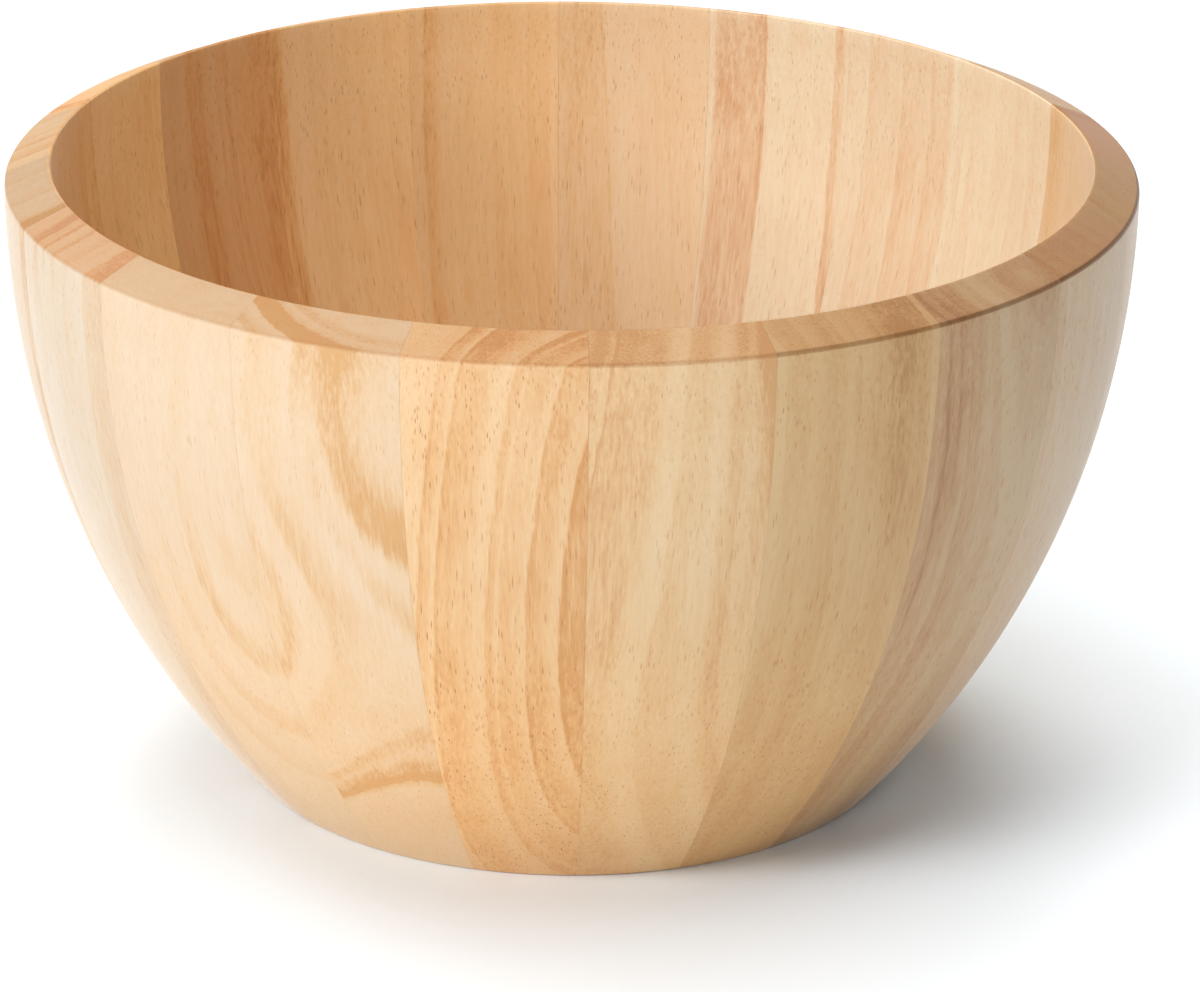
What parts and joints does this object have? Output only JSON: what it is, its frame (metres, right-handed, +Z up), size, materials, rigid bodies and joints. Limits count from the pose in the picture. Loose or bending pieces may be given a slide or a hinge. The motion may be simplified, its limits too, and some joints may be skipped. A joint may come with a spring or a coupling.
{
  "type": "salad bowl",
  "caption": "Round wooden salad bowl of upright staves glued edge to edge, with a sloped rim, a round inside open at the top and a let-in base panel, standing on a flat foot ring.",
  "frame": {"origin": "on the bowl's axis, at the height of the table that it stands on", "axes": "+Z up along the bowl's axis; -Y towards the viewer of the picture"},
  "size_m": [0.28, 0.28, 0.1587],
  "materials": {
    "stave_wood": "satin oiled rubberwood, grain upright",
    "base_wood": "satin oiled rubberwood, grain flat"
  },
  "bodies": {
    "root": {"stave_01": "stave_wood", "stave_02": "stave_wood", "stave_03": "stave_wood", "stave_04": "stave_wood", "stave_05": "stave_wood", "stave_06": "stave_wood", "stave_07": "stave_wood", "stave_08": "stave_wood", "stave_09": "stave_wood", "stave_10": "stave_wood", "stave_11": "stave_wood", "stave_12": "stave_wood", "stave_13": "stave_wood", "stave_14": "stave_wood", "stave_15": "stave_wood", "stave_16": "stave_wood", "stave_17": "stave_wood", "stave_18": "stave_wood", "stave_19": "stave_wood", "stave_20": "stave_wood", "base_board_1": "base_wood", "base_board_2": "base_wood", "base_board_3": "base_wood"}
  },
  "joints": []
}
